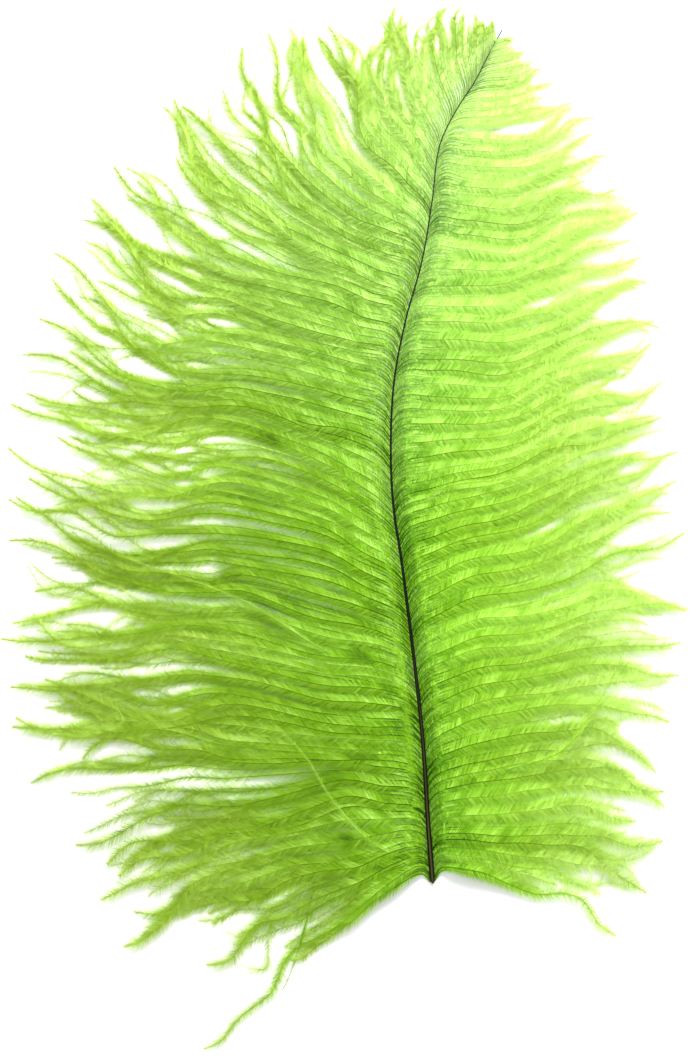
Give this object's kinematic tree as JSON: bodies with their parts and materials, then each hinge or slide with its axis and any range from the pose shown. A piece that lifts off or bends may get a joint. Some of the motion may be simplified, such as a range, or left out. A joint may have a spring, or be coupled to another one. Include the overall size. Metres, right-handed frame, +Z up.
{
  "type": "ostrich feather",
  "caption": "Dyed lime green ostrich plume lying flat: a thin curved dark shaft with a wide vane of loose, drooping barbs on each side, in pointed locks at the edge.",
  "frame": {"origin": "middle of the feather seen from above, on the surface that it lies on", "axes": "+Y from the cut end of the shaft towards the feather's tip, +X towards the right vane, +Z up from the surface"},
  "size_m": [0.242, 0.366, 0.0104],
  "materials": {
    "shaft_horn": "smooth dark horn, stained almost black by the dye, with a soft shine",
    "left_barbs": "soft downy barbs dyed lime green, silky, matte with bright edges",
    "right_barbs": "soft downy barbs dyed light lime green, silky, matte with bright edges"
  },
  "bodies": {
    "root": {"shaft": "shaft_horn", "left_vane": "left_barbs", "right_vane": "right_barbs"}
  },
  "joints": []
}
